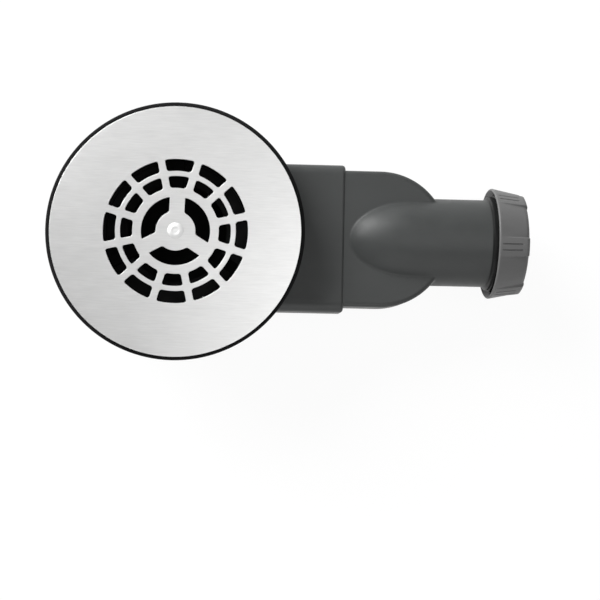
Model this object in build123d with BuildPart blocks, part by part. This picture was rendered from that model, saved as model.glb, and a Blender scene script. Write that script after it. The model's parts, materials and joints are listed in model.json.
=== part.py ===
from build123d import *
from math import degrees
import os

os.makedirs("parts", exist_ok=True)

# Flat shower trap for a tray with a 90 mm hole. Millimetres.
# The origin is on the axis of the waste, in the plane where the tray is clamped.
# +Z is up and +X runs along the flat duct towards the outlet.

# Fits
thread_gap = 0.3  # radial gap in a thread, drawn as plain cylinders
ring_gap = 0.15  # radial gap between round pieces that slip together
seal_gap = 0.05  # gap between a seal and its seats

# Grille plate, with two rings of slots round three arc slots
plate_d = 115.0
plate_t = 1.2
plate_edge_r = 0.5
slot_count = 12
slot_phase = -2.0  # degrees from +X to the middle of the first slot
hub_r = 8.7
centre_slot_w = 7.0
centre_land = 4.1
slot_w = 5.7
ring_land = 2.2
bridge_w = 3.3
slot_corner_r = 0.9
spoke_count = 3
spoke_w = 6.9

# Rivet in the middle of the plate
rivet_d = 4.0
rivet_head_d = 7.8
rivet_dome_h = 1.1
rivet_tail_d = 6.0
rivet_tail_t = 1.0

# Clamp flange with its threaded neck, and the thin seal under it
upper_seal_t = 0.8
upper_seal_w = 6.0
tray_hole_d = 90.0
clamp_rim_d = 109.0
clamp_rim_t = 1.7
clamp_edge_r = 0.6
neck_clear = 4.6  # room round the neck in the tray's hole
neck_thread_h = 1.0
neck_wall = 2.9
neck_depth = 12.0
ledge_w = 3.5
ledge_t = 1.6

# Carrier that centres the plate in the neck
carrier_wall = 2.0
carrier_depth = 7.0
carrier_hub_d = 15.0
carrier_arm_w = 5.0
carrier_arm_h = 3.4

# Rubber gasket that wraps the rim of the body
gasket_d = 119.0
gasket_h = 12.3
gasket_draft = 0.8
gasket_edge_r = 5.0
gasket_top_r = 1.2
gasket_wall = 2.85
gasket_lip_t = 2.5
gasket_heel_w = 3.35
gasket_heel_t = 2.3

# Trap body: a cup with a flat spigot on one side
body_wall = 2.5
body_rim_t = 3.5
collar_drop = 0.3
thread_runout = 1.0
cup_taper = 1.2
cup_bevel = 1.2
pilaster_x = 17.5
pilaster_w = 7.4
pilaster_proud = 1.3
pilaster_ridge_w = 2.0
pilaster_recess = 0.7
duct_drop = 1.9  # from the gasket down to the sleeve
spigot_w = 66.1
spigot_h = 21.4
spigot_lift = 1.7
spigot_wall = 2.3
spigot_corner_r = 3.2
sleeve_seal_w = 3.0
sleeve_seal_depth = 1.1
sleeve_seal_inset = 17.0

# Dip tube with its O-ring, and the cup that holds the water seal round it
dip_collar_h = 4.8
dip_collar_w = 4.7
dip_tube_d = 50.0
dip_wall = 2.0
dip_web_drop = 1.8
dip_gap = 5.5  # way for the water under the tube
o_ring_section_d = 2.4
water_ring_w = 8.0  # from the tube to the outside of the water cup
water_cup_taper = 1.5
water_cup_wall = 1.8
water_cup_floor = 1.4
overflow_h = 5.0  # way for the water over the cup's rim
water_cup_edge_r = 1.0
rib_t = 2.0
rib_below_rim = 7.0

# Outlet adaptor: sleeve, flat box with a round end, and pipe with a bullet nose
sleeve_gap = 0.4
sleeve_len = 34.0
sleeve_wall = 2.15
sleeve_edge_r = 1.6
sleeve_stop_t = 2.5
spigot_end_gap = 0.5
box_w = 65.0
box_h = 23.2
box_straight = 17.0
box_edge_r = 2.4
duct_wall = 2.3
pipe_rise = 0.75
pipe_d = 42.2
pipe_wall = 2.1
pipe_run = 19.2  # from the round end of the box to the flare
nose_len = 35.7
nose_lead = 15.4
nose_blend_r = 2.0

# Socket for a 40 mm waste pipe, with its seal, slip ring and union nut
waste_pipe_d = 40.0
pipe_fit = 0.25
flare_len = 0.8
socket_len = 10.4
socket_wall = 2.45
stop_wall = 2.4
thread_h = 0.7
mouth_cone_len = 3.5
mouth_rim_t = 0.7
seal_flange_t = 2.5
slip_ring_t = 1.2
nut_face_gap = 0.2
nut_lip_t = 2.5
nut_len = 14.9
nut_wall = 3.0
nut_taper = 2.5
nut_edge_r = 1.4
nut_lip_gap = 0.6
pad_count = 6
pad_phase = 9.0  # degrees from straight up to the middle of the first grip pad
pad_w = 8.8
pad_proud = 0.9
groove_w = 0.7
groove_depth = 0.7
groove_pitch = 2.9
groove_start = 1.6
groove_len = 9.8

# Radii of the slots, from the hub outwards
spoke_phase = slot_phase + 90
centre_slot_r = hub_r + centre_slot_w
inner_ring_r = centre_slot_r + centre_land + slot_w
outer_ring_r = inner_ring_r + ring_land + slot_w

# Heights and radii of the waste, from the clamp plane down
plate_z = upper_seal_t + clamp_rim_t
plate_top = plate_z + plate_t
neck_r = tray_hole_d / 2 - neck_clear
neck_in_r = neck_r - neck_wall
ledge_r = neck_in_r - ledge_w
ledge_top = ledge_t - neck_depth
cup_in_r = neck_r + neck_thread_h + thread_gap
cup_r = cup_in_r + body_wall
cup_bottom_r = cup_r - cup_taper
sleeve_room_h = spigot_h + 2 * ring_gap
spigot_z = -gasket_h - duct_drop - sleeve_wall - sleeve_room_h / 2
cup_depth = spigot_h / 2 + spigot_lift - spigot_z
cup_floor_z = body_wall - cup_depth
body_rim_r = gasket_d / 2 - gasket_wall - ring_gap
body_rim_bottom = -gasket_lip_t - body_rim_t
collar_r = neck_in_r - ring_gap * 2
collar_top = ledge_top + dip_collar_h
tube_r = dip_tube_d / 2
tube_in_r = tube_r - dip_wall
tube_bottom = cup_floor_z + water_cup_floor + dip_gap
water_cup_top = -neck_depth - overflow_h

# Places along the outlet, from the cup to the nut
sleeve_x = cup_r + sleeve_gap
sleeve_end_x = sleeve_x + sleeve_len
sleeve_room_end_x = sleeve_end_x - sleeve_stop_t
spigot_end_x = sleeve_room_end_x - spigot_end_gap
sleeve_seal_x = sleeve_x + sleeve_seal_inset
sleeve_room_w = spigot_w + 2 * ring_gap
sleeve_room_r = spigot_corner_r + ring_gap
box_end_x = sleeve_end_x + box_straight
nose_end_x = box_end_x + nose_lead
flare_x = box_end_x + box_w / 2 + pipe_run
stop_x = flare_x + stop_wall
socket_mouth_x = flare_x + socket_len
ring_x = socket_mouth_x + seal_flange_t
lip_x = ring_x + slip_ring_t + nut_face_gap
nut_front_x = lip_x + nut_lip_t
nut_rear_x = nut_front_x - nut_len

# Radii round the pipe's axis
pipe_z = spigot_z + pipe_rise
pipe_r = pipe_d / 2
bore_r = pipe_r - pipe_wall
socket_r = waste_pipe_d / 2 + pipe_fit
thread_r = socket_r + socket_wall
mouth_r = thread_r - mouth_rim_t
nut_bore_r = thread_r + thread_h + thread_gap
nut_r = nut_bore_r + nut_wall
nut_front_r = nut_r - nut_taper
pipe_axis = Axis((0, 0, pipe_z), (1, 0, 0))
pipe_plane = Plane(origin=(0, 0, pipe_z), x_dir=(1, 0, 0), z_dir=(0, -1, 0))


def save(piece, label):
    """Label a finished piece and write it."""
    piece.part.label = label
    export_step(piece.part, f"parts/{label}.step")


# Stainless plate, cut through by the slots
with BuildPart() as grille_plate:
    with BuildSketch(Plane.XY.offset(plate_z)):
        Circle(plate_d / 2)
    extrude(amount=plate_t)
    fillet(grille_plate.edges().sort_by(Axis.Z)[-1], plate_edge_r)
    with BuildSketch(Plane.XY.offset(plate_z)) as slots:
        for ring_r in (outer_ring_r, inner_ring_r):
            Circle(ring_r)
            Circle(ring_r - slot_w, mode=Mode.SUBTRACT)
        with PolarLocations(outer_ring_r / 2, slot_count, start_angle=slot_phase + 180 / slot_count):
            Rectangle(outer_ring_r + slot_w, bridge_w, mode=Mode.SUBTRACT)
        fillet(slots.vertices(), slot_corner_r)
    extrude(amount=plate_t, mode=Mode.SUBTRACT)
    with BuildSketch(Plane.XY.offset(plate_z)) as centre_slots:
        Circle(centre_slot_r)
        Circle(hub_r, mode=Mode.SUBTRACT)
        with PolarLocations(centre_slot_r / 2, spoke_count, start_angle=spoke_phase):
            Rectangle(centre_slot_r + slot_w, spoke_w, mode=Mode.SUBTRACT)
        fillet(centre_slots.vertices(), slot_corner_r)
    extrude(amount=plate_t, mode=Mode.SUBTRACT)
    with BuildSketch(Plane.XY.offset(plate_z)):
        Circle(rivet_d / 2 + ring_gap)
    extrude(amount=plate_t, mode=Mode.SUBTRACT)
save(grille_plate, "grille_plate")

# Rivet: low dome on the plate, shank through the hub, flat tail under it
rivet_seat = plate_z - carrier_arm_h
with BuildPart() as grille_rivet:
    with BuildSketch(Plane.XZ):
        with BuildLine():
            TangentArc((0, plate_top + rivet_dome_h), (rivet_head_d / 2, plate_top), tangent=(1, 0))
            Polyline(
                (rivet_head_d / 2, plate_top),
                (rivet_d / 2, plate_top),
                (rivet_d / 2, rivet_seat),
                (rivet_tail_d / 2, rivet_seat),
                (rivet_tail_d / 2, rivet_seat - rivet_tail_t),
                (0, rivet_seat - rivet_tail_t),
                (0, plate_top + rivet_dome_h),
            )
        make_face()
    revolve(axis=Axis.Z)
save(grille_rivet, "grille_rivet")

# Carrier: a skirt inside the neck, three arms and a hub
carrier_r = neck_in_r - ring_gap * 2
with BuildPart() as grille_carrier:
    with BuildSketch(Plane.XY.offset(plate_z)):
        Circle(carrier_r)
        Circle(carrier_r - carrier_wall, mode=Mode.SUBTRACT)
    extrude(amount=-carrier_depth)
    with BuildSketch(Plane.XY.offset(plate_z)):
        Circle(carrier_hub_d / 2)
        with PolarLocations(carrier_r / 2, spoke_count, start_angle=spoke_phase):
            Rectangle(carrier_r - carrier_wall, carrier_arm_w)
        Circle(rivet_d / 2 + ring_gap, mode=Mode.SUBTRACT)
    extrude(amount=-carrier_arm_h)
save(grille_carrier, "grille_carrier")

# Clamp flange: flat rim, threaded neck and the ledge that carries the dip tube
with BuildPart() as clamp_flange:
    with BuildSketch(Plane.XZ):
        with BuildLine():
            Polyline(
                (neck_in_r, plate_z),
                (clamp_rim_d / 2, plate_z),
                (clamp_rim_d / 2, upper_seal_t),
                (neck_r, upper_seal_t),
                (neck_r, -neck_depth),
                (ledge_r, -neck_depth),
                (ledge_r, ledge_top),
                (neck_in_r, ledge_top),
                close=True,
            )
        make_face()
    revolve(axis=Axis.Z)
    rim_edges = clamp_flange.edges().filter_by(GeomType.CIRCLE).group_by(SortBy.RADIUS)[-1]
    fillet(rim_edges, clamp_edge_r)
save(clamp_flange, "clamp_flange")

# Thin seal between the clamp flange and the tray
with BuildPart() as upper_seal:
    with BuildSketch(Plane.XY):
        Circle(clamp_rim_d / 2 - clamp_edge_r)
        Circle(clamp_rim_d / 2 - clamp_edge_r - upper_seal_w, mode=Mode.SUBTRACT)
    extrude(amount=upper_seal_t)
save(upper_seal, "upper_seal")

# Tray gasket: a thick U section over the body's rim, with a heavy rounded heel
gasket_in_r = cup_r + ring_gap
gasket_low_r = gasket_d / 2 - gasket_draft
gasket_foot_r = gasket_in_r + gasket_heel_w
with BuildPart() as tray_gasket:
    with BuildSketch(Plane.XZ) as gasket_section:
        with BuildLine():
            Polyline(
                (gasket_in_r, 0),
                (gasket_d / 2, 0),
                (gasket_low_r, -gasket_h),
                (gasket_foot_r, -gasket_h),
                (gasket_in_r, body_rim_bottom - gasket_heel_t),
                (gasket_in_r, body_rim_bottom),
                (body_rim_r + ring_gap, body_rim_bottom),
                (body_rim_r + ring_gap, -gasket_lip_t),
                (gasket_in_r, -gasket_lip_t),
                close=True,
            )
        make_face()
        outer_corners = gasket_section.vertices().sort_by(Axis.X)[-2:].sort_by(Axis.Z)
        fillet(outer_corners[0], gasket_edge_r)
        fillet(gasket_section.vertices().sort_by(Axis.X)[-1], gasket_top_r)
    revolve(axis=Axis.Z)
save(tray_gasket, "tray_gasket")

# Trap body: tapered cup, rim, front and back pilasters, flat spigot
pilaster_y = (cup_r**2 - pilaster_x**2) ** 0.5 + pilaster_proud
with BuildPart() as trap_body:
    with BuildSketch(Plane.XZ):
        with BuildLine():
            Polyline(
                (0, -collar_drop),
                (cup_r, -collar_drop),
                (cup_r, -gasket_lip_t),
                (body_rim_r, -gasket_lip_t),
                (body_rim_r, body_rim_bottom),
                (cup_r, body_rim_bottom),
                (cup_bottom_r, cup_bevel - cup_depth),
                (cup_bottom_r - cup_bevel, -cup_depth),
                (0, -cup_depth),
                close=True,
            )
        make_face()
    revolve(axis=Axis.Z)
    with BuildSketch(Plane.XY.offset(-cup_depth)):
        with Locations((pilaster_x, 0)):
            Rectangle(pilaster_w, 2 * pilaster_y)
            with Locations((0, pilaster_y), (0, -pilaster_y)):
                Rectangle(pilaster_w - 2 * pilaster_ridge_w, 2 * pilaster_recess, mode=Mode.SUBTRACT)
    extrude(amount=cup_depth - gasket_h)
    with BuildSketch(Plane.YZ):
        with Locations((0, spigot_z)):
            RectangleRounded(spigot_w, spigot_h, spigot_corner_r)
    extrude(amount=spigot_end_x)
    with BuildSketch(Plane.XZ):
        with BuildLine():
            Polyline(
                (0, -collar_drop),
                (cup_in_r, -collar_drop),
                (cup_in_r, -neck_depth - thread_runout),
                (cup_bottom_r - body_wall, cup_floor_z),
                (0, cup_floor_z),
                close=True,
            )
        make_face()
    revolve(axis=Axis.Z, mode=Mode.SUBTRACT)
    with BuildSketch(Plane.YZ):
        with Locations((0, spigot_z)):
            Rectangle(spigot_w - 2 * spigot_wall, spigot_h - 2 * spigot_wall)
    extrude(amount=spigot_end_x, mode=Mode.SUBTRACT)
    with BuildSketch(Plane.YZ.offset(sleeve_seal_x)):
        with Locations((0, spigot_z)):
            Rectangle(spigot_w, spigot_h)
            RectangleRounded(
                spigot_w - 2 * sleeve_seal_depth,
                spigot_h - 2 * sleeve_seal_depth,
                spigot_corner_r - sleeve_seal_depth,
                mode=Mode.SUBTRACT,
            )
    extrude(amount=sleeve_seal_w, mode=Mode.SUBTRACT)
save(trap_body, "trap_body")

# Sleeve seal: flat rubber ring in the spigot's groove
with BuildPart() as sleeve_seal:
    with BuildSketch(Plane.YZ.offset(sleeve_seal_x + seal_gap)):
        with Locations((0, spigot_z)):
            RectangleRounded(
                sleeve_room_w - 2 * seal_gap,
                sleeve_room_h - 2 * seal_gap,
                sleeve_room_r - seal_gap,
            )
            RectangleRounded(
                spigot_w - 2 * sleeve_seal_depth + 2 * seal_gap,
                spigot_h - 2 * sleeve_seal_depth + 2 * seal_gap,
                spigot_corner_r - sleeve_seal_depth + seal_gap,
                mode=Mode.SUBTRACT,
            )
    extrude(amount=sleeve_seal_w - 2 * seal_gap)
save(sleeve_seal, "sleeve_seal")

# Dip tube: grooved collar on the ledge, sloping web and plain tube
o_ring_z = (ledge_top + collar_top) / 2
groove_half_w = o_ring_section_d / 2 + seal_gap
o_ring_r = neck_in_r - seal_gap * 2 - o_ring_section_d / 2
with BuildPart() as dip_tube:
    with BuildSketch(Plane.XZ) as dip_section:
        with BuildLine():
            Polyline(
                (collar_r, ledge_top),
                (collar_r, collar_top),
                (collar_r - dip_collar_w, collar_top),
                (collar_r - dip_collar_w, ledge_top + dip_wall),
                (tube_in_r, ledge_top + dip_wall - dip_web_drop),
                (tube_in_r, tube_bottom),
                (tube_r, tube_bottom),
                (tube_r, ledge_top - dip_web_drop),
                (ledge_r - ring_gap * 2, ledge_top),
                close=True,
            )
        make_face()
        with Locations((collar_r, o_ring_z)):
            Rectangle(2 * (collar_r - o_ring_r + groove_half_w), 2 * groove_half_w, mode=Mode.SUBTRACT)
    revolve(axis=Axis.Z)
save(dip_tube, "dip_tube")

# O-ring of the dip tube
with BuildPart() as dip_tube_o_ring:
    with Locations((0, 0, o_ring_z)):
        Torus(o_ring_r, o_ring_section_d / 2)
save(dip_tube_o_ring, "dip_tube_o_ring")

# Water cup: thin bowl on the body's floor, with ribs that centre it on the dip tube
water_cup_r = tube_r + water_ring_w
water_cup_low_r = water_cup_r - water_cup_taper
rib_in_r = tube_r + thread_gap
rib_len = water_cup_low_r - rib_in_r
with BuildPart() as water_cup:
    with BuildSketch(Plane.XZ):
        with BuildLine():
            Polyline(
                (0, cup_floor_z),
                (water_cup_low_r, cup_floor_z),
                (water_cup_r, water_cup_top),
                (water_cup_r - water_cup_wall, water_cup_top),
                (water_cup_low_r - water_cup_wall, cup_floor_z + water_cup_floor),
                (0, cup_floor_z + water_cup_floor),
                close=True,
            )
        make_face()
    revolve(axis=Axis.Z)
    fillet(water_cup.edges().sort_by(Axis.Z)[0], water_cup_edge_r)
    with BuildSketch(Plane.XY.offset(cup_floor_z + water_cup_floor)):
        with PolarLocations(rib_in_r + (rib_len - water_cup_wall / 2) / 2, spoke_count, start_angle=90):
            Rectangle(rib_len - water_cup_wall / 2, rib_t)
    extrude(amount=water_cup_top - rib_below_rim - cup_floor_z - water_cup_floor)
save(water_cup, "water_cup")

# Flat box of the outlet adaptor, with its round end and soft edges
with BuildPart() as flat_box:
    with BuildSketch(Plane.XY.offset(pipe_z - box_h / 2)):
        with Locations((box_end_x, 0)):
            Circle(box_w / 2)
            Rectangle(box_end_x - spigot_end_x, box_w, align=(Align.MAX, Align.CENTER))
    extrude(amount=box_h)
    fillet(flat_box.faces().filter_by(Axis.Z).edges(), box_edge_r)

# Outlet adaptor: one moulding, hollow from the sleeve to the socket
with BuildPart() as outlet_adaptor:
    with BuildSketch(Plane.YZ.offset(sleeve_x)):
        with Locations((0, spigot_z)):
            RectangleRounded(
                sleeve_room_w + 2 * sleeve_wall,
                sleeve_room_h + 2 * sleeve_wall,
                sleeve_room_r + sleeve_wall,
            )
    extrude(amount=sleeve_len)
    fillet(outlet_adaptor.faces().sort_by(Axis.X)[-1].edges(), sleeve_edge_r)
    add(flat_box.part)
    with BuildSketch(pipe_plane):
        with BuildLine():
            EllipticalCenterArc((nose_end_x, 0), nose_len, pipe_r, start_angle=90, arc_size=90)
            Polyline(
                (nose_end_x - nose_len, 0),
                (socket_mouth_x, 0),
                (socket_mouth_x, thread_r),
                (flare_x + flare_len, thread_r),
                (flare_x, pipe_r),
                (nose_end_x, pipe_r),
            )
        make_face()
    revolve(axis=pipe_axis)
    fillet(outlet_adaptor.edges(Select.NEW), nose_blend_r)
    with BuildSketch(Plane.YZ.offset(sleeve_x)):
        with Locations((0, spigot_z)):
            RectangleRounded(sleeve_room_w, sleeve_room_h, sleeve_room_r)
    extrude(amount=sleeve_room_end_x - sleeve_x, mode=Mode.SUBTRACT)
    with BuildSketch(Plane.XY.offset(pipe_z - box_h / 2 + duct_wall)):
        with Locations((box_end_x, 0)):
            Circle(box_w / 2 - duct_wall)
            Rectangle(box_end_x - spigot_end_x, box_w - 2 * duct_wall, align=(Align.MAX, Align.CENTER))
    extrude(amount=box_h - 2 * duct_wall, mode=Mode.SUBTRACT)
    with BuildSketch(pipe_plane):
        with BuildLine():
            EllipticalCenterArc(
                (nose_end_x, 0), nose_len - pipe_wall, bore_r, start_angle=90, arc_size=90
            )
            Polyline(
                (nose_end_x - nose_len + pipe_wall, 0),
                (socket_mouth_x, 0),
                (socket_mouth_x, mouth_r),
                (socket_mouth_x - mouth_cone_len, socket_r),
                (stop_x, socket_r),
                (stop_x, bore_r),
                (nose_end_x, bore_r),
            )
        make_face()
    revolve(axis=pipe_axis, mode=Mode.SUBTRACT)
save(outlet_adaptor, "outlet_adaptor")

# Conical seal in the mouth of the socket
cone_slope = (mouth_r - socket_r) / mouth_cone_len
with BuildPart() as conical_seal:
    with BuildSketch(pipe_plane):
        with BuildLine():
            Polyline(
                (socket_mouth_x - mouth_cone_len + pipe_fit, socket_r),
                (ring_x - seal_gap, socket_r),
                (ring_x - seal_gap, thread_r),
                (socket_mouth_x + seal_gap, thread_r),
                (socket_mouth_x + seal_gap, mouth_r - cone_slope * pipe_fit),
                (socket_mouth_x - mouth_cone_len + pipe_fit, socket_r + seal_gap),
                close=True,
            )
        make_face()
    revolve(axis=pipe_axis)
save(conical_seal, "conical_seal")

# Slip ring between the seal and the nut
with BuildPart() as slip_ring:
    with BuildSketch(pipe_plane):
        with BuildLine():
            Polyline(
                (ring_x, socket_r + ring_gap),
                (ring_x + slip_ring_t, socket_r + ring_gap),
                (ring_x + slip_ring_t, thread_r + thread_h),
                (ring_x, thread_r + thread_h),
                close=True,
            )
        make_face()
    revolve(axis=pipe_axis)
save(slip_ring, "slip_ring")

# Union nut: tapered ring with grip pads that stand proud at the front
pad_angle = degrees(pad_w / nut_r)
groove_angle = degrees(groove_w / nut_r)
groove_offset = degrees(groove_pitch / nut_r) / 2
groove_x = nut_rear_x + groove_start
groove_end_x = groove_x + groove_len
pad_slope = (nut_taper - pad_proud) / nut_len
groove_r = nut_r - groove_depth - pad_slope * groove_start
groove_end_r = groove_r - pad_slope * groove_len
with BuildPart() as union_nut:
    with BuildSketch(pipe_plane):
        with BuildLine():
            Polyline(
                (nut_rear_x, 0),
                (nut_rear_x, nut_r),
                (nut_front_x, nut_front_r),
                (nut_front_x, 0),
                close=True,
            )
        make_face()
    revolve(axis=pipe_axis)
    fillet(union_nut.edges().filter_by(GeomType.CIRCLE).sort_by(Axis.X)[-1], nut_edge_r)
    for pad in range(pad_count):
        pad_turn = pad_phase + pad * 360 / pad_count
        with BuildSketch(pipe_plane.rotated((pad_turn - pad_angle / 2, 0, 0))):
            with BuildLine():
                Polyline(
                    (nut_rear_x, nut_bore_r),
                    (nut_rear_x, nut_r),
                    (nut_front_x, nut_front_r + pad_proud),
                    (nut_front_x, nut_front_r - nut_edge_r),
                    close=True,
                )
            make_face()
        revolve(axis=pipe_axis, revolution_arc=pad_angle)
        for side in (-1, 1):
            groove_turn = pad_turn + side * groove_offset - groove_angle / 2
            with BuildSketch(pipe_plane.rotated((groove_turn, 0, 0))):
                with BuildLine():
                    Polyline(
                        (groove_x, groove_r),
                        (groove_x, nut_r + groove_depth),
                        (groove_end_x, nut_r + groove_depth),
                        (groove_end_x, groove_end_r),
                        close=True,
                    )
                make_face()
            revolve(axis=pipe_axis, revolution_arc=groove_angle, mode=Mode.SUBTRACT)
    with BuildSketch(pipe_plane):
        with BuildLine():
            Polyline(
                (nut_rear_x, 0),
                (nut_rear_x, nut_bore_r),
                (lip_x, nut_bore_r),
                (lip_x, socket_r + nut_lip_gap),
                (nut_front_x, socket_r + nut_lip_gap),
                (nut_front_x, 0),
                close=True,
            )
        make_face()
    revolve(axis=pipe_axis, mode=Mode.SUBTRACT)
save(union_nut, "union_nut")
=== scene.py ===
"""Looks of a flat shower trap: finishes, grille plate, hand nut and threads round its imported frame."""

import json
import math

import bmesh
import bpy
import numpy as np
from bpy.props import FloatProperty, FloatVectorProperty, IntProperty, PointerProperty
from mathutils import Matrix, Vector


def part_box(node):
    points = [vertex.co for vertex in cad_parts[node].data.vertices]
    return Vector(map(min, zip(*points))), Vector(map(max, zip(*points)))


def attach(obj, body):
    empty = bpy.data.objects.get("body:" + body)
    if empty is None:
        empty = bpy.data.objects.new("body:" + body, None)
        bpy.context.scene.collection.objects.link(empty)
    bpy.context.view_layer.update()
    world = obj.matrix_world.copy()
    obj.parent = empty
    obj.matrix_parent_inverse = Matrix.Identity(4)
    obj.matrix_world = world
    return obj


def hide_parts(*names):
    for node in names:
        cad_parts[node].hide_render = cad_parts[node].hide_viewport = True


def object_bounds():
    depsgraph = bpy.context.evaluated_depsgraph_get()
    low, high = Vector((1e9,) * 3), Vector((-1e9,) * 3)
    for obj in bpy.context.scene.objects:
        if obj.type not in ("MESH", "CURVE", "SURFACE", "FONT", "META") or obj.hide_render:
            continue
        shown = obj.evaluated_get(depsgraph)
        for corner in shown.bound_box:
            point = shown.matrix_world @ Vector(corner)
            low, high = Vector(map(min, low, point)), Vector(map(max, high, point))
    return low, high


bl_info = {
    "name": "Shower Trap",
    "version": (1, 0, 0),
    "blender": (4, 5, 0),
    "location": "3D View > Sidebar > Shower Trap",
    "description": "Finishes, grille plate, hand nut and threads of a flat shower trap",
    "category": "Object",
}

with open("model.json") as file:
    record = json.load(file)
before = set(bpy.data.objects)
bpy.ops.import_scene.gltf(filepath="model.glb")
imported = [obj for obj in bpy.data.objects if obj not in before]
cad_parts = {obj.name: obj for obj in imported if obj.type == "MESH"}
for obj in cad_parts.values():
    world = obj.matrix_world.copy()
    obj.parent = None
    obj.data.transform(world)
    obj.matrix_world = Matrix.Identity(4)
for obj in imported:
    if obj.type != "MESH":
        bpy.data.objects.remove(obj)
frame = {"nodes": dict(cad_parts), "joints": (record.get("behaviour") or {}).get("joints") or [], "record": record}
cad_low, cad_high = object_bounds()

MM = 0.001
TURN = 2 * math.pi
SIDE = 32  # points on each side of a slot
AROUND = 72  # points round the rivet, and along one turn of a thread

# Places read from the frame, in metres
joint_places = {joint["name"]: joint for joint in frame["joints"]}
pipe_z = joint_places["nut_turn"]["pos_m"][2]
nut_low, nut_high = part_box("union_nut")


def length(label, text, size, low=0.0):
    """A length property in metres, with its default given in millimetres."""
    return FloatProperty(
        name=label, description=text, default=size * MM, min=low, unit="LENGTH", precision=5
    )


def tint(label, text, colour):
    """A colour property."""
    return FloatVectorProperty(
        name=label, description=text, default=colour, size=3, min=0.0, max=1.0, subtype="COLOR"
    )


def share(label, text, value):
    """A share from 0 to 1."""
    return FloatProperty(
        name=label, description=text, default=value, min=0.0, max=1.0, subtype="FACTOR", precision=3
    )


def number(label, text, value):
    """A number of like features."""
    return IntProperty(name=label, description=text, default=value, min=1)


def power(label, text, watts):
    """A lamp's power in watts."""
    return FloatProperty(name=label, description=text, default=watts, min=0.0, unit="POWER")


def optics(label, text, size):
    """A size of the camera in millimetres."""
    return FloatProperty(name=label, description=text, default=size, min=1.0, unit="CAMERA")


def turn(label, text, size):
    """An angle property in radians, with its default given in degrees."""
    return FloatProperty(name=label, description=text, default=math.radians(size), unit="ROTATION")


def place(label, text, point):
    """A point in metres, with its default given in millimetres."""
    default = tuple(part * MM for part in point)
    return FloatVectorProperty(
        name=label, description=text, default=default, size=3, unit="LENGTH", precision=5
    )


class SteelLooks(bpy.types.PropertyGroup):
    """Finish of the grille plate and its rivet."""

    colour: tint("Steel", "Colour of the plate's brushed steel", (0.705, 0.705, 0.701))
    rivet_colour: tint("Rivet", "Colour of the rivet's satin steel", (0.60, 0.60, 0.597))
    roughness: share("Roughness", "Roughness of the brushed face", 0.405)
    line_pitch: length("Line pitch", "Width of one brush line", 0.60)
    line_length: length("Line length", "Length of one brush line", 8.0)
    contrast: share("Contrast", "How far the brush lines change the brightness", 0.07)
    unevenness: share("Unevenness", "How far the brush lines change the roughness", 0.012)
    rivet_metal: share("Rivet metal", "Metallic share of the rivet's satin steel", 0.7)
    rivet_roughness: share("Rivet roughness", "Roughness of the rivet's satin steel", 0.60)


class PlateShape(bpy.types.PropertyGroup):
    """Outline, slots and rivet of the grille plate."""

    radius: length("Radius", "Radius of the plate", 57.1)
    edge: length("Edge", "Rounding of the upper edges", 0.08)
    seat: place("Seat", "Where the plate rests in the play of its seat", (0.45, -0.65, 0.0))
    corner: length("Corner", "Rounding of the ring slots' corners", 1.15)
    centre_corner: length("Centre corner", "Rounding of the centre slots' corners", 0.65)
    slot_count: number("Slots", "Number of slots in each ring", 12)
    slot_phase: turn("Phase", "Angle from +X to the middle of the first slot", -2.0)
    bridge: length("Bridge", "Width of the bars between the slots", 3.3)
    outer_far: length("Outer ring", "Outer radius of the outer ring's slots", 32.9)
    outer_near: length("Outer ring inside", "Inner radius of the outer ring's slots", 27.35)
    inner_far: length("Inner ring", "Outer radius of the inner ring's slots", 25.1)
    inner_near: length("Inner ring inside", "Inner radius of the inner ring's slots", 19.6)
    spoke_count: number("Spokes", "Number of spokes to the hub", 3)
    spoke: length("Spoke", "Width of the spokes", 6.9)
    centre_far: length("Centre slots", "Outer radius of the centre slots", 15.7)
    centre_near: length("Hub", "Radius of the hub", 9.0)
    hole: length("Rivet hole", "Radius of the rivet's hole", 2.1)
    land: length("Land", "Plain width round the outer ring", 2.0)
    head: length("Rivet head", "Radius of the rivet's head", 3.7)
    dome: length("Dome", "Height of the rivet's head", 0.5)
    dimple: length("Dimple", "Depth of the dent in the rivet's head", 0.2)
    shank: length("Shank", "Radius of the rivet's shank", 2.0)
    tail: length("Tail", "Radius of the rivet's tail", 3.0)
    tail_height: length("Tail height", "Height of the rivet's tail", 1.0)


class PlasticLooks(bpy.types.PropertyGroup):
    """Finish of the moulded plastic pieces."""

    body_colour: tint("Body", "Grey of the trap body and the outlet adaptor", (0.0415, 0.0436, 0.0431))
    nut_colour: tint("Nut", "Lighter grey of the union nut", (0.108, 0.108, 0.108))
    inner_colour: tint("Inner", "Black of the flange, dip tube and water cup", (0.005, 0.005, 0.005))
    # Painted shade: the carrier is drawn at this share of the inner black. It stands for the shade under the plate
    # that keeps the slots black.
    carrier_painted_shade: share("Carrier shade", "Tone of the carrier beside the other inner pieces", 0.2)
    ring_colour: tint("Slip ring", "Pale plastic of the slip ring", (0.50, 0.50, 0.48))
    roughness: share("Roughness", "Roughness of the moulded faces", 0.43)
    gloss: share("Gloss", "Specular level of the moulded faces", 0.19)
    grain: length("Grain", "Size of the mould's fine grain", 0.5)
    # Painted shade: past this point along X the adaptor is drawn darker by the share below. It stands for the
    # shadow in the gap behind the union nut, not for a darker socket.
    socket_start: length("Socket start", "Where the darker socket starts, along X", 147.1)
    socket_painted_shade: share("Socket shade", "Tone of the socket beside the rest of the adaptor", 0.16)


class RubberLooks(bpy.types.PropertyGroup):
    """Finish of the gasket and the seals."""

    colour: tint("Rubber", "Black of the gasket and the seals", (0.007, 0.007, 0.0073))
    roughness: share("Roughness", "Roughness of the rubber", 0.85)
    gloss: share("Gloss", "Specular level of the rubber", 0.08)
    grain: length("Grain", "Size of the rubber's dull grain", 0.35)


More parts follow.
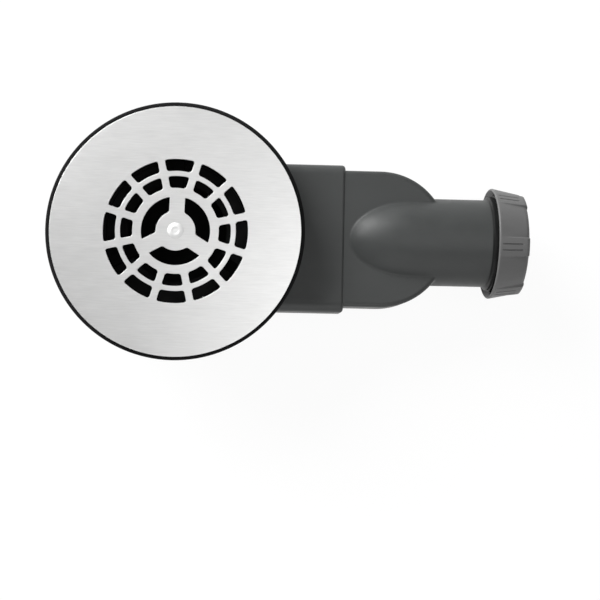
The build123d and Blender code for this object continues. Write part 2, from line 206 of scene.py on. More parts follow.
class NutShape(bpy.types.PropertyGroup):
    """Sizes of the union nut."""

    rear_radius: length("Rear radius", "Outside radius at the rear rim", 26.7)
    front_radius: length("Front radius", "Outside radius at the front, between the pads", 24.2)
    bore_radius: length("Bore radius", "Inside radius at the root of the thread", 23.7)
    lead_in: length("Lead-in", "Chamfer of the bore at the rear rim", 2.2)
    lip_radius: length("Lip radius", "Radius of the hole that the waste pipe goes through", 20.85)
    lip_thickness: length("Lip thickness", "Thickness of the front lip", 2.5)
    front_edge: length("Front edge", "Rounding of the front edge between the pads", 2.4)
    pad_edge: length("Pad edge", "Rounding of a pad's front edge", 1.9)
    rear_edge: length("Rear edge", "Rounding of the rear rim", 0.7)
    pad_count: number("Pads", "Number of grip pads", 6)
    pad_phase: turn("Pad phase", "Angle from straight up to the middle of the first pad", 9.0)
    pad_width: length("Pad width", "Width of a grip pad", 8.8)
    pad_rise: length("Pad rise", "Height of a pad at the nut's front", 0.9)
    pad_flank: length("Pad flank", "Width of a pad's sloping flank", 0.7)
    groove_pitch: length("Groove pitch", "Distance between a pad's two grooves", 2.9)
    groove_width: length("Groove width", "Width of a groove", 0.8)
    groove_depth: length("Groove depth", "Depth of a groove", 0.45)
    groove_start: length("Groove start", "From the rear rim to the grooves", 1.6)
    groove_length: length("Groove length", "Length of a groove", 9.8)


class ThreadShape(bpy.types.PropertyGroup):
    """Sizes of the union thread, along X, and of the neck thread, along Z."""

    socket_radius: length("Socket radius", "Radius of the socket under its thread", 22.7)
    socket_start: length("Socket start", "Where the socket's thread starts", 149.0)
    socket_end: length("Socket end", "Where the socket's thread ends", 156.9)
    nut_start: length("Nut start", "Where the nut's thread starts", 150.9)
    nut_end: length("Nut end", "Where the nut's thread ends", 159.3)
    union_depth: length("Union depth", "Height of a ridge of the union thread", 0.65)
    union_root: length("Union root", "Width of a ridge at its foot", 1.5)
    union_crest: length("Union crest", "Width of a ridge at its crest", 0.6)
    neck_radius: length("Neck radius", "Radius of the flange's neck under its thread", 40.4)
    neck_start: length("Neck start", "Where the neck's thread starts", -11.2, -1.0)
    neck_end: length("Neck end", "Where the neck's thread ends", -1.4, -1.0)
    body_radius: length("Body radius", "Radius of the body's bore at the root of its thread", 41.7)
    body_start: length("Body start", "Where the body's thread starts", -11.6, -1.0)
    body_end: length("Body end", "Where the body's thread ends", -1.6, -1.0)
    neck_depth: length("Neck depth", "Height of a ridge of the neck thread", 0.9)
    neck_root: length("Neck root", "Width of a ridge at its foot", 2.0)
    neck_crest: length("Neck crest", "Width of a ridge at its crest", 0.8)


class StageLooks(bpy.types.PropertyGroup):
    """Camera, floor and light."""

    target: place("Target", "Point in the middle of the picture", (57.70, -30.70, 0.0))
    distance: length("Distance", "From the camera to the target", 466.58)
    azimuth: turn("Azimuth", "Turn of the camera round Z", -25.22)
    elevation: turn("Elevation", "Height of the camera", 86.72)
    roll: turn("Roll", "Turn of the picture", 26.44)
    lens: optics("Lens", "Focal length", 61.24)
    sensor: optics("Sensor", "Width of the sensor", 36.0)
    floor_colour: tint("Floor", "Colour of the floor", (0.92, 0.92, 0.92))
    floor_roughness: share("Floor roughness", "Roughness of the floor", 0.9)
    floor_radius: length("Floor radius", "Radius of the floor", 4000.0)
    sweep_foot: length("Sweep foot", "Radius at which the floor starts to rise", 2200.0)
    sweep_rise: length("Sweep rise", "Height of the floor's far edge", 1300.0)
    floor_glow: share("Floor glow", "Share of plain white in the floor, as the camera sees it", 0.93)
    world_light: share("World", "Strength of the even light from all round", 0.06)
    key_place: place("Key place", "Main lamp, from the target", (330.0, -55.0, 1155.0))
    key_size: length("Key size", "Width of the main lamp", 800.0)
    key_power: power("Key", "Power of the main lamp", 5.2)
    side_place: place("Side place", "Side lamp, from the target", (-769.0, 769.0, 507.0))
    side_size: length("Side size", "Width of the side lamp", 900.0)
    side_power: power("Side", "Power of the side lamp", 35.0)
    fill_place: place("Fill place", "Fill lamp, from the target", (0.0, -1039.0, 600.0))
    fill_size: length("Fill size", "Width of the fill lamp", 900.0)
    fill_power: power("Fill", "Power of the fill lamp", 6.5)


class TrapLooks(bpy.types.PropertyGroup):
    """All the sizes and colours of the trap's looks."""

    steel: PointerProperty(type=SteelLooks, name="Steel", description="Finish of the plate and its rivet")
    plate: PointerProperty(type=PlateShape, name="Plate", description="Shape of the plate and its rivet")
    plastic: PointerProperty(type=PlasticLooks, name="Plastic", description="Finish of the mouldings")
    rubber: PointerProperty(type=RubberLooks, name="Rubber", description="Finish of gasket and seals")
    nut: PointerProperty(type=NutShape, name="Nut", description="Shape of the union nut")
    thread: PointerProperty(type=ThreadShape, name="Threads", description="Shape of the two threads")
    stage: PointerProperty(type=StageLooks, name="Stage", description="Camera, floor and light")


# Meshes

def smoothstep(low, high, value):
    """0 below low, 1 above high, and t*t*(3 - 2t) between them."""
    t = np.clip((value - low) / (high - low), 0.0, 1.0)
    return t * t * (3 - 2 * t)


def grid_faces(rows, columns, close_u, close_v):
    """Quads over a grid of points.

    Face (i, j) joins points (i, j), (i+1, j), (i+1, j+1) and (i, j+1); a direction that closes
    wraps round.
    """
    i, j = np.meshgrid(
        np.arange(rows if close_u else rows - 1),
        np.arange(columns if close_v else columns - 1),
        indexing="ij",
    )
    next_i, next_j = (i + 1) % rows, (j + 1) % columns
    corners = [i * columns + j, next_i * columns + j, next_i * columns + next_j, i * columns + next_j]
    return np.stack(corners, axis=-1).reshape(-1, 4)


def grid_object(name, points, material, close_u=False, close_v=True, sharp_deg=40.0):
    """Object made of quads over one grid of points, or over a list of grids that close alike.

    Points that fall together, as at a pole or a shared edge, are merged, and faces turned outwards.
    Edges sharper than the angle stay sharp.
    """
    grids = points if isinstance(points, list) else [points]
    starts = np.cumsum([0] + [grid.shape[0] * grid.shape[1] for grid in grids])
    quads = [grid_faces(*grid.shape[:2], close_u, close_v) + start for grid, start in zip(grids, starts)]
    faces = np.concatenate(quads).astype(np.int32)
    corners = np.concatenate([grid.reshape(-1, 3) for grid in grids])
    mesh = bpy.data.meshes.new(name)
    mesh.vertices.add(len(corners))
    mesh.vertices.foreach_set("co", corners.astype(np.float32).ravel())
    mesh.loops.add(faces.size)
    mesh.loops.foreach_set("vertex_index", faces.ravel())
    mesh.polygons.add(len(faces))
    mesh.polygons.foreach_set("loop_start", np.arange(0, faces.size, 4, dtype=np.int32))
    mesh.update(calc_edges=True)
    shape = bmesh.new()
    shape.from_mesh(mesh)
    bmesh.ops.remove_doubles(shape, verts=shape.verts, dist=1e-7)
    bmesh.ops.recalc_face_normals(shape, faces=shape.faces)
    shape.to_mesh(mesh)
    shape.free()
    mesh.shade_smooth()
    mesh.set_sharp_from_angle(angle=math.radians(sharp_deg))
    mesh.materials.append(material)
    piece = bpy.data.objects.new(name, mesh)
    bpy.context.scene.collection.objects.link(piece)
    return piece


def round_pipe(angle, x, radius):
    """Points at an angle round the pipe's axis, measured from straight up towards -Y."""
    return np.stack(
        [x + 0 * angle, -radius * np.sin(angle), pipe_z + radius * np.cos(angle)], axis=-1
    )


def round_waste(angle, z, radius):
    """Points at an angle round the waste's axis, measured from +X towards +Y."""
    return np.stack([radius * np.cos(angle), radius * np.sin(angle), z + 0 * angle], axis=-1)


# Finishes

class Finish:
    """A material being built: its Principled shader and short ways to add nodes."""

    def __init__(self, name, **constants):
        self.material = bpy.data.materials.new(name)
        self.material.use_nodes = True
        self.tree = self.material.node_tree
        self.shader = self.tree.nodes["Principled BSDF"]
        self.place = self.add("ShaderNodeTexCoord").outputs["Object"]
        for socket, value in constants.items():
            self.shader.inputs[socket.replace("_", " ")].default_value = value

    def add(self, kind, links=None, **settings):
        """A new node, with its settings, and its inputs set or linked."""
        node = self.tree.nodes.new(kind)
        for setting, value in settings.items():
            setattr(node, setting, value)
        for socket, value in (links or {}).items():
            if isinstance(value, bpy.types.NodeSocket):
                self.tree.links.new(value, node.inputs[socket])
            else:
                node.inputs[socket].default_value = value
        return node

    def noise(self, scale, detail=3.0, roughness=0.55):
        """Noise whose cells are 1/scale metres long along X, Y and Z."""
        spread = self.add("ShaderNodeMapping", {"Vector": self.place, "Scale": scale})
        texture = self.add(
            "ShaderNodeTexNoise",
            {"Vector": spread.outputs["Vector"], "Scale": 1.0, "Detail": detail, "Roughness": roughness},
        )
        return texture.outputs["Fac"]

    def span(self, value, low, high, from_low=0.3, from_high=0.7):
        """The value's middle range, spread from low to high."""
        node = self.add(
            "ShaderNodeMapRange",
            {"Value": value, "From Min": from_low, "From Max": from_high, "To Min": low, "To Max": high},
        )
        return node.outputs["Result"]

    def ramp(self, value, base, low, high):
        """The base colour, from low to high times its own brightness as the value rises."""
        node = self.add("ShaderNodeValToRGB", {"Fac": value})
        for stop, factor, where in zip(node.color_ramp.elements, (low, high), (0.3, 0.7)):
            stop.position = where
            stop.color = (*[min(1.0, part * factor) for part in base], 1.0)
        return node.outputs["Color"]

    def blend(self, factor, first, second, kind="FLOAT"):
        """The first value, giving way to the second as the factor rises."""
        node = self.add("ShaderNodeMix", data_type=kind)
        sockets = [socket for socket in node.inputs if socket.enabled]
        for socket, value in zip(sockets, (factor, first, second)):
            if isinstance(value, bpy.types.NodeSocket):
                self.tree.links.new(value, socket)
            else:
                socket.default_value = value
        return next(socket for socket in node.outputs if socket.enabled)

    def maths(self, operation, first, second):
        """The result of an operation on two values."""
        return self.add("ShaderNodeMath", {0: first, 1: second}, operation=operation).outputs[0]

    def bump(self, value, strength, depth):
        """The value as a relief of the given depth in metres."""
        node = self.add("ShaderNodeBump", {"Height": value, "Strength": strength, "Distance": depth})
        self.link(node.outputs["Normal"], "Normal")

    def link(self, value, socket):
        """The value into one of the shader's sockets."""
        self.tree.links.new(value, self.shader.inputs[socket])


def brushed_steel(name, base, looks):
    """Steel with straight brush lines along X: fine lines, a few broader ones and a soft cloud."""
    finish = Finish(name, Metallic=1.0)
    along, across = 1 / looks.line_length, 1 / looks.line_pitch
    fine = finish.noise((along, across, across), detail=4.0, roughness=0.6)
    broad = finish.noise((0.6 * along, across / 4, across / 4), detail=2.0)
    cloud = finish.noise((14.0, 22.0, 22.0), detail=1.0)
    lines = finish.blend(0.3, fine, broad)
    tone = finish.blend(0.2, lines, cloud)
    finish.link(finish.ramp(tone, base, 1 - looks.contrast, 1 + looks.contrast), "Base Color")
    smooth, rough = looks.roughness - looks.unevenness, looks.roughness + looks.unevenness
    finish.link(finish.span(lines, smooth, rough), "Roughness")
    finish.bump(fine, strength=0.04, depth=0.03 * MM)
    return finish.material


def satin_steel(name, base, looks):
    """Plain satin steel with a fine, even grain and a faint cloud."""
    finish = Finish(name, Metallic=looks.rivet_metal)
    grain = finish.noise((2500.0, 2500.0, 2500.0), detail=2.0)
    cloud = finish.noise((180.0, 180.0, 180.0), detail=2.0)
    finish.link(finish.ramp(cloud, base, 0.95, 1.05), "Base Color")
    smooth, rough = looks.rivet_roughness - 0.05, looks.rivet_roughness + 0.05
    finish.link(finish.span(grain, smooth, rough), "Roughness")
    finish.bump(grain, strength=0.08, depth=0.02 * MM)
    return finish.material


def moulded_plastic(name, base, roughness, gloss, grain, contrast=0.06, painted_shade_from=None, shade=1.0):
    """Moulded plastic: a fine spark grain, soft flow clouds and slightly uneven gloss.

    Past painted_shade_from along X the tone is multiplied by the shade, over a short soft change: a painted shade
    standing for a shadow, not a darker plastic.
    """
    change = 0.4 * MM
    finish = Finish(name, IOR=1.5, Specular_IOR_Level=gloss)
    fine = finish.noise((1 / grain,) * 3, detail=2.0)
    flow = finish.noise((28.0, 60.0, 60.0), detail=3.0)
    cloud = finish.noise((130.0, 130.0, 130.0), detail=2.0)
    tone = finish.blend(0.35, flow, cloud)
    colour = finish.ramp(tone, base, 1 - contrast, 1 + contrast)
    # Painted shade: past the given point along X the tone is darkened to stand for a shadow.
    if painted_shade_from is not None:
        painted_shade_colour = finish.ramp(tone, base, shade * (1 - contrast), shade * (1 + contrast))
        along = finish.add("ShaderNodeSeparateXYZ", {"Vector": finish.place}).outputs["X"]
        painted_shade_share = finish.span(along, 0.0, 1.0, painted_shade_from, painted_shade_from + change)
        colour = finish.blend(painted_shade_share, colour, painted_shade_colour, "RGBA")
    finish.link(colour, "Base Color")
    finish.link(finish.span(cloud, roughness - 0.05, roughness + 0.06), "Roughness")
    finish.bump(fine, strength=0.10, depth=0.03 * MM)
    return finish.material


def dull_rubber(name, looks):
    """Moulded rubber: dull, with a fine grain and a faint bloom of lighter patches."""
    finish = Finish(name, IOR=1.5, Specular_IOR_Level=looks.gloss)
    fine = finish.noise((1 / looks.grain,) * 3, detail=3.0, roughness=0.7)
    bloom = finish.noise((70.0, 70.0, 110.0), detail=4.0, roughness=0.6)
    finish.link(finish.ramp(bloom, looks.colour, 0.8, 1.35), "Base Color")
    finish.link(finish.span(bloom, looks.roughness - 0.06, looks.roughness + 0.08), "Roughness")
    finish.bump(fine, strength=0.25, depth=0.06 * MM)
    return finish.material


def dress(node, material):
    """Give a node of the frame its finish."""
    node_object = frame["nodes"][node]
    node_object.data.materials.clear()
    node_object.data.materials.append(material)


def looks_of(context):
    """The trap's own sizes and colours in this scene."""
    return context.scene.shower_trap


# Plate and rivet

def square_walk(count):
    """Points (a, b) round the square from -1 to 1, with count of them on each side."""
    run = np.linspace(-1.0, 1.0, count, endpoint=False)
    one = np.ones(count)
    return np.concatenate([one, -run, -one, run]), np.concatenate([run, one, -run, -one])


def slot_outline(near, far, bar, sector, corner, grow):
    """Outline (radius, angle) of a slot between two bars, all round, from its middle angle.

    A point P of the plain slot lies at radius p, at q = b * p * (sector/2 - asin(bar/2p)) along
    the arc. C is P drawn in from the sides by the corner's radius, and the outline is
    C + (corner + grow) * (P - C) / |P - C|, so that the corners are round.
    """
    crowding = 1.6  # above 1, the points draw together towards the corners
    a, b = (np.sign(part) * (1 - (1 - np.abs(part)) ** crowding) for part in square_walk(SIDE))
    middle, half = (near + far) / 2, (far - near) / 2
    p = middle + half * a
    reach = p * (sector / 2 - np.arcsin(bar / 2 / p))
    q = reach * b
    inner_p = np.clip(p, near + corner, far - corner)
    inner_q = np.clip(q, corner - reach, reach - corner)
    stretch = (corner + grow) / np.hypot(p - inner_p, q - inner_q)
    radius = inner_p + (p - inner_p) * stretch
    return radius, (inner_q + (q - inner_q) * stretch) / radius


def edge_steps(edge, high):
    """Steps (inset, z) over the rounded upper edge of a wall, on to the flat.

    The edge is a quarter circle: inset = edge * (1 - cos a), z = high - edge * (1 - sin a).
    """
    rise = np.radians([0.0, 30.0, 60.0, 90.0])
    curve = np.stack([edge * (1 - np.cos(rise)), high - edge * (1 - np.sin(rise))], axis=-1)
    return np.concatenate([curve, [[1.5 * edge, high]]])


def slot_cell(near, far, bar, sector, border, corner, edge, low, high):
    """Rows of points (radius, angle, z) round one slot, from its cell's border and back to it.

    The rows run from the border under the plate to the slot, up its wall, over the rounded edge
    and out to the border on top. The border is the ring sector between its two radii.
    """
    a, b = square_walk(SIDE)
    border_radius = (border[0] + border[1]) / 2 + a * (border[1] - border[0]) / 2
    border_angle = b * sector / 2
    steps = np.concatenate([[[0.0, low]], edge_steps(edge, high)])
    rows = [(border_radius, border_angle, low)]
    rows += [(*slot_outline(near, far, bar, sector, corner, grow), z) for grow, z in steps]
    rows += [(border_radius, border_angle, high)]
    return np.stack([np.stack(np.broadcast_arrays(*row), axis=-1) for row in rows])


def plate_grids(shape, low, high):
    """Grids of the plate: a cell round each slot, and the plain rim round them all."""
    outer_edge = shape.outer_far + shape.land
    between = (shape.outer_near + shape.inner_far) / 2
    inside = (shape.inner_near + shape.centre_far) / 2
    sector, wide = TURN / shape.slot_count, TURN / shape.spoke_count
    first = shape.slot_phase
    first_wide = first + TURN / 4 + wide / 2
    outer = (shape.outer_near, shape.outer_far, shape.bridge, sector, (between, outer_edge), shape.corner)
    inner = (shape.inner_near, shape.inner_far, shape.bridge, sector, (inside, between), shape.corner)
    centre = (
        shape.centre_near, shape.centre_far, shape.spoke, wide, (shape.hole, inside), shape.centre_corner
    )
    grids = []
    rings = ((first, sector, outer), (first, sector, inner), (first_wide, wide, centre))
    for start, step, slot in rings:
        radius, angle, z = np.moveaxis(slot_cell(*slot, shape.edge, low, high), -1, 0)
        middles = start + np.arange(0.0, TURN - step / 2, step)
        grids += [round_waste(middle + angle, z, radius) for middle in middles]
    upper = edge_steps(shape.edge, high) * (-1, 1) + (shape.radius, 0)
    rim = np.concatenate([[[outer_edge, low], [shape.radius, low]], upper, [[outer_edge, high]]])
    count = SIDE * shape.slot_count
    around = first + sector / 2 + TURN * np.arange(count) / count
    grids.append(round_waste(around + 0 * rim[:, :1], rim[:, 1:], rim[:, :1]))
    return [grid + np.array(shape.seat) for grid in grids]


def rivet_points(shape, low, high):
    """Points of the rivet over its section and the angle round it.

    The head's height over the radius r is dome * (1 - (r/head)^3), less a dent that fades out
    between a quarter and about half of the head's radius.
    """
    r = np.linspace(0.0, shape.head, 25)
    dent = shape.dimple * (1 - smoothstep(0.25 * shape.head, 0.55 * shape.head, r))
    top = np.stack([r, high + shape.dome * (1 - (r / shape.head) ** 3) - dent], axis=-1)
    seat = low + shape.tail_height
    stem = [
        (shape.shank, high), (shape.shank, seat), (shape.tail, seat), (shape.tail, low), (0.0, low)
    ]
    section = np.concatenate([top, stem])
    around = np.linspace(0.0, TURN, AROUND, endpoint=False)
    points = round_waste(around + 0 * section[:, :1], section[:, 1:], section[:, :1])
    return points + np.array(shape.seat)


class TRAP_OT_plate(bpy.types.Operator):
    """Build the brushed grille plate with its rounded slots, and the rivet with its dented head"""

    bl_idname = "shower_trap.plate"
    bl_label = "Plate and rivet"

    def execute(self, context):
        looks = looks_of(context)
        shape, steel = looks.plate, looks.steel
        low, high = (corner.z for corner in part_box("grille_plate"))
        brushed = brushed_steel("plate_brushed_steel", steel.colour, steel)
        plate = grid_object("slotted_plate", plate_grids(shape, low, high), brushed)
        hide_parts("grille_plate")
        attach(plate, "clamp")
        satin = satin_steel("rivet_satin_steel", steel.rivet_colour, steel)
        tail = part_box("grille_rivet")[0].z
        rivet = grid_object("dented_rivet", rivet_points(shape, tail, high), satin)
        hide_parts("grille_rivet")
        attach(rivet, "clamp")
        return {"FINISHED"}


# Mouldings and seals

class TRAP_OT_mouldings(bpy.types.Operator):
    """Give the trap body and the outlet adaptor their grey moulded finish, with painted shade on the adaptor's
    socket end
    """

    bl_idname = "shower_trap.mouldings"
    bl_label = "Body and outlet adaptor"

    def execute(self, context):
        looks = looks_of(context).plastic
        feel = (looks.body_colour, looks.roughness, looks.gloss, looks.grain)
        dress("trap_body", moulded_plastic("body_grey_plastic", *feel))
        # The adaptor's finish is drawn darker past the socket start: painted shade for the shadow behind the union
        # nut.
        adaptor = moulded_plastic(
            "adaptor_grey_plastic_painted_shade", *feel, painted_shade_from=looks.socket_start, shade=looks.socket_painted_shade
        )
        dress("outlet_adaptor", adaptor)
        return {"FINISHED"}


class TRAP_OT_rubber(bpy.types.Operator):
    """Give the tray gasket and the seals their dull rubber finish"""

    bl_idname = "shower_trap.rubber"
    bl_label = "Gasket and seals"

    def execute(self, context):
        rubber = dull_rubber("gasket_rubber", looks_of(context).rubber)
        for node in ("tray_gasket", "upper_seal", "dip_tube_o_ring", "sleeve_seal", "conical_seal"):
            dress(node, rubber)
        return {"FINISHED"}


class TRAP_OT_inner(bpy.types.Operator):
    """Give the black inner pieces and the pale slip ring their moulded finish, with painted shade on the grille
    carrier
    """

    bl_idname = "shower_trap.inner"
    bl_label = "Inner pieces"

    def execute(self, context):
        looks = looks_of(context).plastic
        grain = looks.grain
        base = looks.inner_colour
        black = moulded_plastic(
            "inner_black_plastic", base, roughness=0.7, gloss=0.05, grain=grain, contrast=0.2
        )
        for node in ("clamp_flange", "dip_tube", "water_cup"):
            dress(node, black)
        # Painted shade: the carrier is drawn darker than the other inner pieces to stand for the shade under the
        # plate.
        painted_shade_black = [part * looks.carrier_painted_shade for part in base]
        carrier = moulded_plastic(
            "carrier_painted_shade_plastic", painted_shade_black, roughness=0.8, gloss=0.0, grain=grain, contrast=0.2
        )
        dress("grille_carrier", carrier)
        pale = moulded_plastic(
            "ring_pale_plastic", looks.ring_colour, roughness=0.35, gloss=0.4, grain=grain
        )
        dress("slip_ring", pale)
        return {"FINISHED"}


# Union nut

def arc_run(centre, radius, start_deg, end_deg, count):
    """Points (x, r) on an arc about a centre, at even angles."""
    angle = np.radians(np.linspace(start_deg, end_deg, count))
    return np.stack([centre[0] + radius * np.cos(angle), centre[1] + radius * np.sin(angle)], axis=-1)


def straight_run(start, end, count):
    """Points (x, r) on a straight line, without its two ends."""
    step = np.linspace(0.0, 1.0, count + 2)[1:-1, None]
    return np.array(start) * (1 - step) + np.array(end) * step


def nut_section(shape, front_radius, front_edge):
    """Closed section (x, r) of the nut: rear rim, tapered outside, front edge, lip and bore."""
    rear_x, front_x = nut_low.x, nut_high.x
    taper = math.degrees(math.atan2(front_radius - shape.rear_radius, front_x - rear_x))
    rear_mid = (rear_x + shape.rear_edge, shape.rear_radius - shape.rear_edge)
    front_mid = (front_x - front_edge, front_radius - front_edge)
    lip_x = front_x - shape.lip_thickness
    rear_round = arc_run(rear_mid, shape.rear_edge, 180.0, 90.0 + taper, count=7)
    front_round = arc_run(front_mid, front_edge, 90.0 + taper, 0.0, count=9)
    corners = [
        (front_x, shape.lip_radius),
        (lip_x, shape.lip_radius),
        (lip_x, shape.bore_radius),
        (rear_x + shape.lead_in, shape.bore_radius),
        (rear_x, shape.bore_radius + shape.lead_in),
    ]
    return np.concatenate(
        [
            rear_round,
            straight_run(rear_round[-1], front_round[0], count=40),
            front_round,
            straight_run(front_round[-1], corners[0], count=3),
            np.array(corners),
        ]
    )


class TRAP_OT_nut(bpy.types.Operator):
    """Build the union nut with its grip pads and grooves"""

    bl_idname = "shower_trap.nut"
    bl_label = "Union nut"

    def execute(self, context):
        looks = looks_of(context)
        shape = looks.nut
        feel = (looks.plastic.roughness, looks.plastic.gloss, looks.plastic.grain)
        grey = moulded_plastic("nut_grey_plastic", looks.plastic.nut_colour, *feel)
        nut = grid_object("hand_nut", self.surface(shape), grey, close_u=True, sharp_deg=32.0)
        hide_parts("union_nut")
        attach(nut, "nut")
        return {"FINISHED"}

    @staticmethod
    def surface(shape):
        """Points of the nut over the angle and its section.

        A point is the plain section, moved towards the pad's section by the pad's share at that
        angle: 1 on a pad, falling to 0 over its flank. A groove then takes the radius down by
        its depth, as a rounded notch across and a rounded stretch along.
        """
        plain = nut_section(shape, shape.front_radius, shape.front_edge)
        raised = nut_section(shape, shape.front_radius + shape.pad_rise, shape.pad_edge)
        sector = TURN / shape.pad_count
        half_pad = shape.pad_width / 2 / shape.rear_radius
        flank = shape.pad_flank / shape.rear_radius
        groove = shape.groove_pitch / 2 / shape.rear_radius
        notch = shape.groove_width / 2 / shape.rear_radius
        half_sector = np.concatenate(
            [
                np.linspace(0.0, groove - 1.3 * notch, 5)[1:],
                np.linspace(groove - 1.2 * notch, groove + 1.2 * notch, 13),
                np.linspace(groove + 1.4 * notch, half_pad - 0.1 * flank, 5),
                np.linspace(half_pad, half_pad + flank, 8),
                np.linspace(half_pad + 1.3 * flank, sector / 2, 14),
            ]
        )
        offset = np.concatenate([-half_sector[::-1][1:], [0.0], half_sector])
        pad_share = 1 - smoothstep(half_pad, half_pad + flank, np.abs(offset))
        notch_share = 1 - smoothstep(0.45 * notch, notch, np.abs(np.abs(offset) - groove))
        along = plain[:, 0] - nut_low.x
        round_end = shape.groove_width
        stretch = smoothstep(shape.groove_start, shape.groove_start + round_end, along)
        groove_end = shape.groove_start + shape.groove_length
        stretch *= 1 - smoothstep(groove_end - round_end, groove_end, along)
        stretch *= plain[:, 1] > shape.bore_radius
        x = plain[:, 0] + pad_share[:, None] * (raised[:, 0] - plain[:, 0])
        radius = plain[:, 1] + pad_share[:, None] * (raised[:, 1] - plain[:, 1])
        radius = radius - notch_share[:, None] * stretch * shape.groove_depth
        middles = shape.pad_phase + sector * np.arange(shape.pad_count)
        angle = (middles[:, None] + offset).reshape(-1, 1)
        return round_pipe(
            angle, np.tile(x, (shape.pad_count, 1)), np.tile(radius, (shape.pad_count, 1))
        )


# Threads

def thread_surface(round_axis, start, end, datum, pitch, foot_radius, height, root, crest):
    """Points of a helical ridge, over the turn along it and its section.

    The middle of the ridge is at datum + pitch * angle / a whole turn along the axis, from start
    to end. Its section is a trapezium with softened corners, sunk a little below the foot radius.
    It stands outwards where height is positive and inwards where it is negative, and shrinks to a
    point over the first and last third of a turn.
    """
    lead = 0.33  # turns over which each end fades
    turns = (end - start) / pitch
    step = np.linspace(0.0, turns, int(turns * AROUND) + 1)[:, None]
    fade = smoothstep(0.0, lead, step) * smoothstep(0.0, lead, turns - step)
    sink = -0.2 * height
    shoulder = 0.86 * height
    soft = 0.18 * crest
    half = crest / 2
    along = np.array([-root / 2, -half - soft, -half + soft, half - soft, half + soft, root / 2])
    rise = np.array([sink, shoulder, height, height, shoulder, sink])
    middle = start + pitch * step
    radius = foot_radius + sink + fade * (rise - sink)
    angle = TURN * (middle - datum) / pitch
    return round_axis(angle + 0 * along, middle + fade * along, radius)


def thread_pitch(slide):
    """Travel of a coupled slide in one whole turn."""
    couplings = frame["record"]["behaviour"]["couplings"]
    return TURN * next(coupling["ratio"] for coupling in couplings if coupling["joint"] == slide)


def thread_piece(name, points, body, carrier):
    """A thread that rides with its body and has the finish of the piece that carries it."""
    piece = grid_object(name, points, carrier.data.materials[0], sharp_deg=25.0)
    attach(piece, body)


class TRAP_OT_union_thread(bpy.types.Operator):
    """Build the thread ridges of the socket and, half a pitch on, of the union nut"""

    bl_idname = "shower_trap.union_thread"
    bl_label = "Union thread"

    def execute(self, context):
        shape = looks_of(context).thread
        pitch = thread_pitch("nut_travel")
        datum = shape.socket_start
        socket = thread_surface(
            round_pipe, shape.socket_start, shape.socket_end, datum, pitch,
            shape.socket_radius, shape.union_depth, shape.union_root, shape.union_crest,
        )
        bore = looks_of(context).nut.bore_radius
        nut = thread_surface(
            round_pipe, shape.nut_start, shape.nut_end, datum + pitch / 2, pitch,
            bore, -shape.union_depth, shape.union_root, shape.union_crest,
        )
        thread_piece("socket_thread", socket, "trap", frame["nodes"]["outlet_adaptor"])
        thread_piece("nut_thread", nut, "nut", bpy.data.objects["hand_nut"])
        return {"FINISHED"}


class TRAP_OT_neck_thread(bpy.types.Operator):
    """Build the thread ridges of the flange's neck and, half a pitch on, of the body's bore"""

    bl_idname = "shower_trap.neck_thread"
    bl_label = "Neck thread"

    def execute(self, context):
        shape = looks_of(context).thread
        pitch = thread_pitch("clamp_lift")
        datum = shape.neck_start
        neck = thread_surface(
            round_waste, shape.neck_start, shape.neck_end, datum, pitch,
            shape.neck_radius, shape.neck_depth, shape.neck_root, shape.neck_crest,
        )
        body = thread_surface(
            round_waste, shape.body_start, shape.body_end, datum + pitch / 2, pitch,
            shape.body_radius, -shape.neck_depth, shape.neck_root, shape.neck_crest,
        )
        thread_piece("neck_thread", neck, "clamp", frame["nodes"]["clamp_flange"])
        thread_piece("body_thread", body, "trap", frame["nodes"]["trap_body"])
        return {"FINISHED"}


# Stage

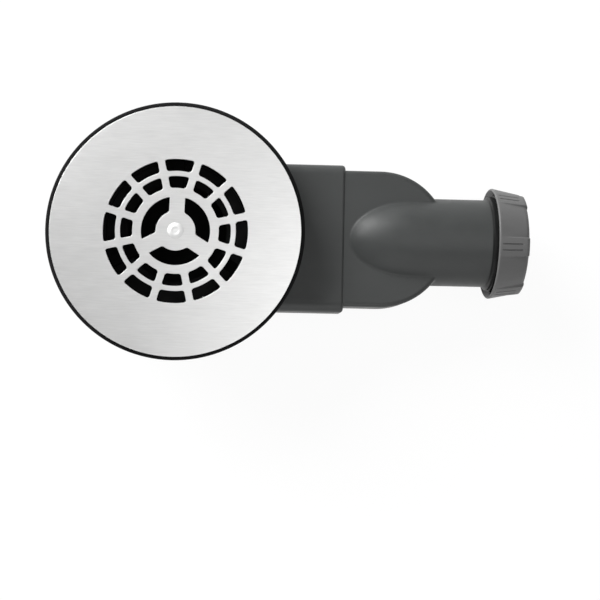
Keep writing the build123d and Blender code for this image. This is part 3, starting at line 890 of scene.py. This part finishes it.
class TRAP_OT_stage(bpy.types.Operator):
    """Set the camera over the trap, on a pale floor in soft light"""

    bl_idname = "shower_trap.stage"
    bl_label = "Stage"

    def execute(self, context):
        looks = looks_of(context).stage
        self.floor(looks)
        self.light(looks)
        self.camera(looks)
        context.scene.view_settings.view_transform = "Standard"
        return {"FINISHED"}

    @staticmethod
    def floor(looks):
        """Wide round floor under the lowest point, swept up at its far edge.

        Its height over the radius r is the sweep's rise times smoothstep(r) between its foot and
        the edge. Seen straight, in a gloss or through glass it is mostly white.
        """
        rings, spokes = 24, 96
        radius = np.concatenate([[0.0], np.linspace(looks.sweep_foot, looks.floor_radius, rings)])
        height = cad_low.z + looks.sweep_rise * smoothstep(looks.sweep_foot, looks.floor_radius, radius)
        around = np.linspace(0.0, TURN, spokes, endpoint=False)
        points = round_waste(around + 0 * radius[:, None], height[:, None], radius[:, None])
        colour = (*looks.floor_colour, 1.0)
        paint = Finish("floor_white", Base_Color=colour, Roughness=looks.floor_roughness)
        ray = paint.add("ShaderNodeLightPath").outputs
        mirrored = paint.maths("MAXIMUM", ray["Is Glossy Ray"], ray["Is Transmission Ray"])
        seen = paint.maths("MAXIMUM", ray["Is Camera Ray"], mirrored)
        white_share = paint.maths("MULTIPLY", seen, looks.floor_glow)
        white = paint.add("ShaderNodeEmission").outputs[0]
        surface = paint.add(
            "ShaderNodeMixShader", {0: white_share, 1: paint.shader.outputs[0], 2: white}
        )
        paint.tree.links.new(surface.outputs[0], paint.tree.nodes["Material Output"].inputs["Surface"])
        grid_object("floor", points, paint.material)

    @staticmethod
    def light(looks):
        """Faint even light, a large soft lamp overhead, one from the side and a weak one opposite."""
        world = bpy.data.worlds.new("soft_room")
        world.use_nodes = True
        shade = world.node_tree.nodes["Background"]
        shade.inputs["Color"].default_value = (1.0, 1.0, 1.0, 1.0)
        shade.inputs["Strength"].default_value = looks.world_light
        bpy.context.scene.world = world
        for name, offset, watts, size in (
            ("key_lamp", looks.key_place, looks.key_power, looks.key_size),
            ("side_lamp", looks.side_place, looks.side_power, looks.side_size),
            ("fill_lamp", looks.fill_place, looks.fill_power, looks.fill_size),
        ):
            away = Vector(offset)
            lamp = bpy.data.lights.new(name, "AREA")
            lamp.energy = watts
            lamp.size = size
            holder = bpy.data.objects.new(name, lamp)
            holder.location = Vector(looks.target) + away
            holder.rotation_euler = (-away).to_track_quat("-Z", "Y").to_euler()
            bpy.context.scene.collection.objects.link(holder)

    @staticmethod
    def camera(looks):
        """Camera at a distance from its target, turned by azimuth, elevation and roll."""
        a, e, r = looks.azimuth, looks.elevation, looks.roll
        back = Vector((math.cos(e) * math.sin(a), -math.cos(e) * math.cos(a), math.sin(e)))
        level = Vector((math.cos(a), math.sin(a), 0.0))
        upright = back.cross(level)
        right = math.cos(r) * level + math.sin(r) * upright
        up = math.cos(r) * upright - math.sin(r) * level
        lens = bpy.data.cameras.new("plan_camera")
        lens.lens = looks.lens
        lens.sensor_width = looks.sensor
        lens.clip_start = 10 * MM
        holder = bpy.data.objects.new("plan_camera", lens)
        aim = Matrix((right, up, back)).transposed().to_4x4()
        holder.matrix_world = Matrix.Translation(Vector(looks.target) + back * looks.distance) @ aim
        bpy.context.scene.collection.objects.link(holder)
        bpy.context.scene.camera = holder


# Panel and registration

class TRAP_PT_looks(bpy.types.Panel):
    """Lists the steps of the trap's looks"""

    bl_idname = "TRAP_PT_looks"
    bl_label = "Shower Trap"
    bl_space_type = "VIEW_3D"
    bl_region_type = "UI"
    bl_category = "Shower Trap"

    def draw(self, context):
        for step in STEPS:
            self.layout.operator(step.bl_idname)


GROUPS = (
    SteelLooks,
    PlateShape,
    PlasticLooks,
    RubberLooks,
    NutShape,
    ThreadShape,
    StageLooks,
    TrapLooks,
)
STEPS = (
    TRAP_OT_plate,
    TRAP_OT_mouldings,
    TRAP_OT_rubber,
    TRAP_OT_inner,
    TRAP_OT_nut,
    TRAP_OT_union_thread,
    TRAP_OT_neck_thread,
    TRAP_OT_stage,
)


def register():
    """Make the groups, steps and panel known to Blender."""
    for kind in (*GROUPS, *STEPS, TRAP_PT_looks):
        bpy.utils.register_class(kind)
    bpy.types.Scene.shower_trap = PointerProperty(
        type=TrapLooks, name="Shower Trap", description="Sizes and colours of the trap's looks"
    )


def unregister():
    """Take them out again."""
    del bpy.types.Scene.shower_trap
    for kind in reversed((*GROUPS, *STEPS, TRAP_PT_looks)):
        bpy.utils.unregister_class(kind)


def main():
    """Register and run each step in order."""
    register()
    bpy.ops.shower_trap.plate()
    bpy.ops.shower_trap.mouldings()
    bpy.ops.shower_trap.rubber()
    bpy.ops.shower_trap.inner()
    bpy.ops.shower_trap.nut()
    bpy.ops.shower_trap.union_thread()
    bpy.ops.shower_trap.neck_thread()
    bpy.ops.shower_trap.stage()


if __name__ == "__main__":
    main()
